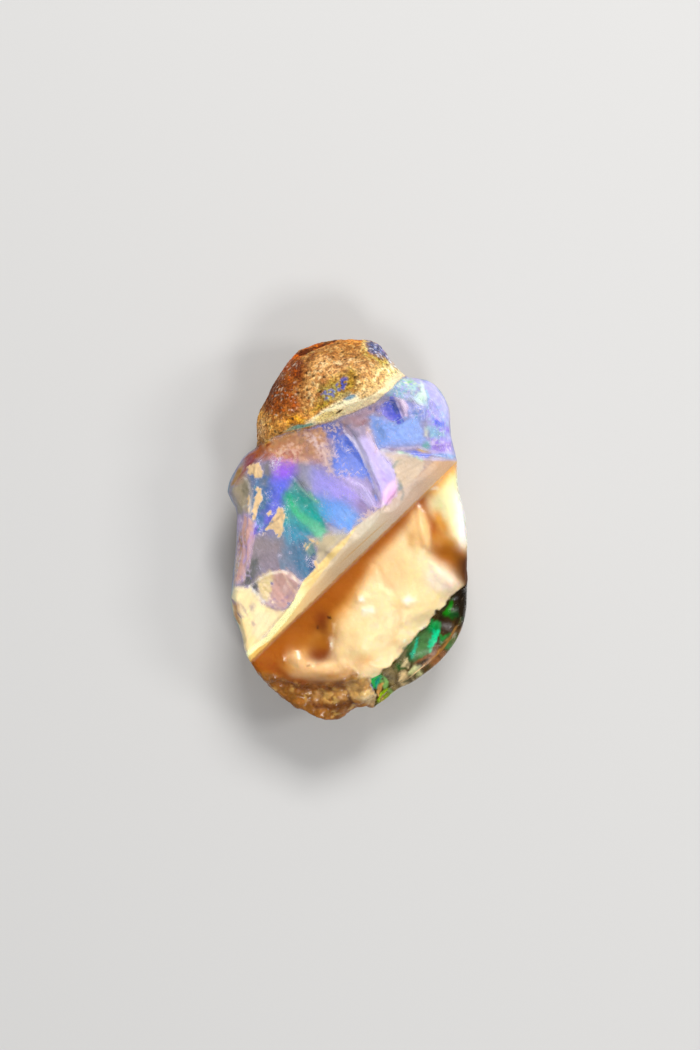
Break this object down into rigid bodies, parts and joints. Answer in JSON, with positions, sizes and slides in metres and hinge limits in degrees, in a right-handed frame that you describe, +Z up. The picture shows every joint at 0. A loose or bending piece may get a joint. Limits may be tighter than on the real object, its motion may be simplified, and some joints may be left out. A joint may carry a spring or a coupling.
{
  "type": "rough opal",
  "caption": "Uncut natural opal, lying on a flat break: a sandy crust cap, a glassy broken opal face with play of colour, and a lower smooth cream potch ledge.",
  "frame": {"origin": "under the middle of the stone's box, on the flat break it rests on", "axes": "+Y along the stone towards its crust end, +X across it to the right edge where the potch ledge is, +Z up out of the opened opal face"},
  "size_m": [0.0242, 0.0384, 0.0141],
  "materials": {
    "opal": "natural: glassy broken opal, glossy wet-looking potch, matt granular crust"
  },
  "bodies": {
    "root": {"rough_opal": "opal"}
  },
  "joints": []
}
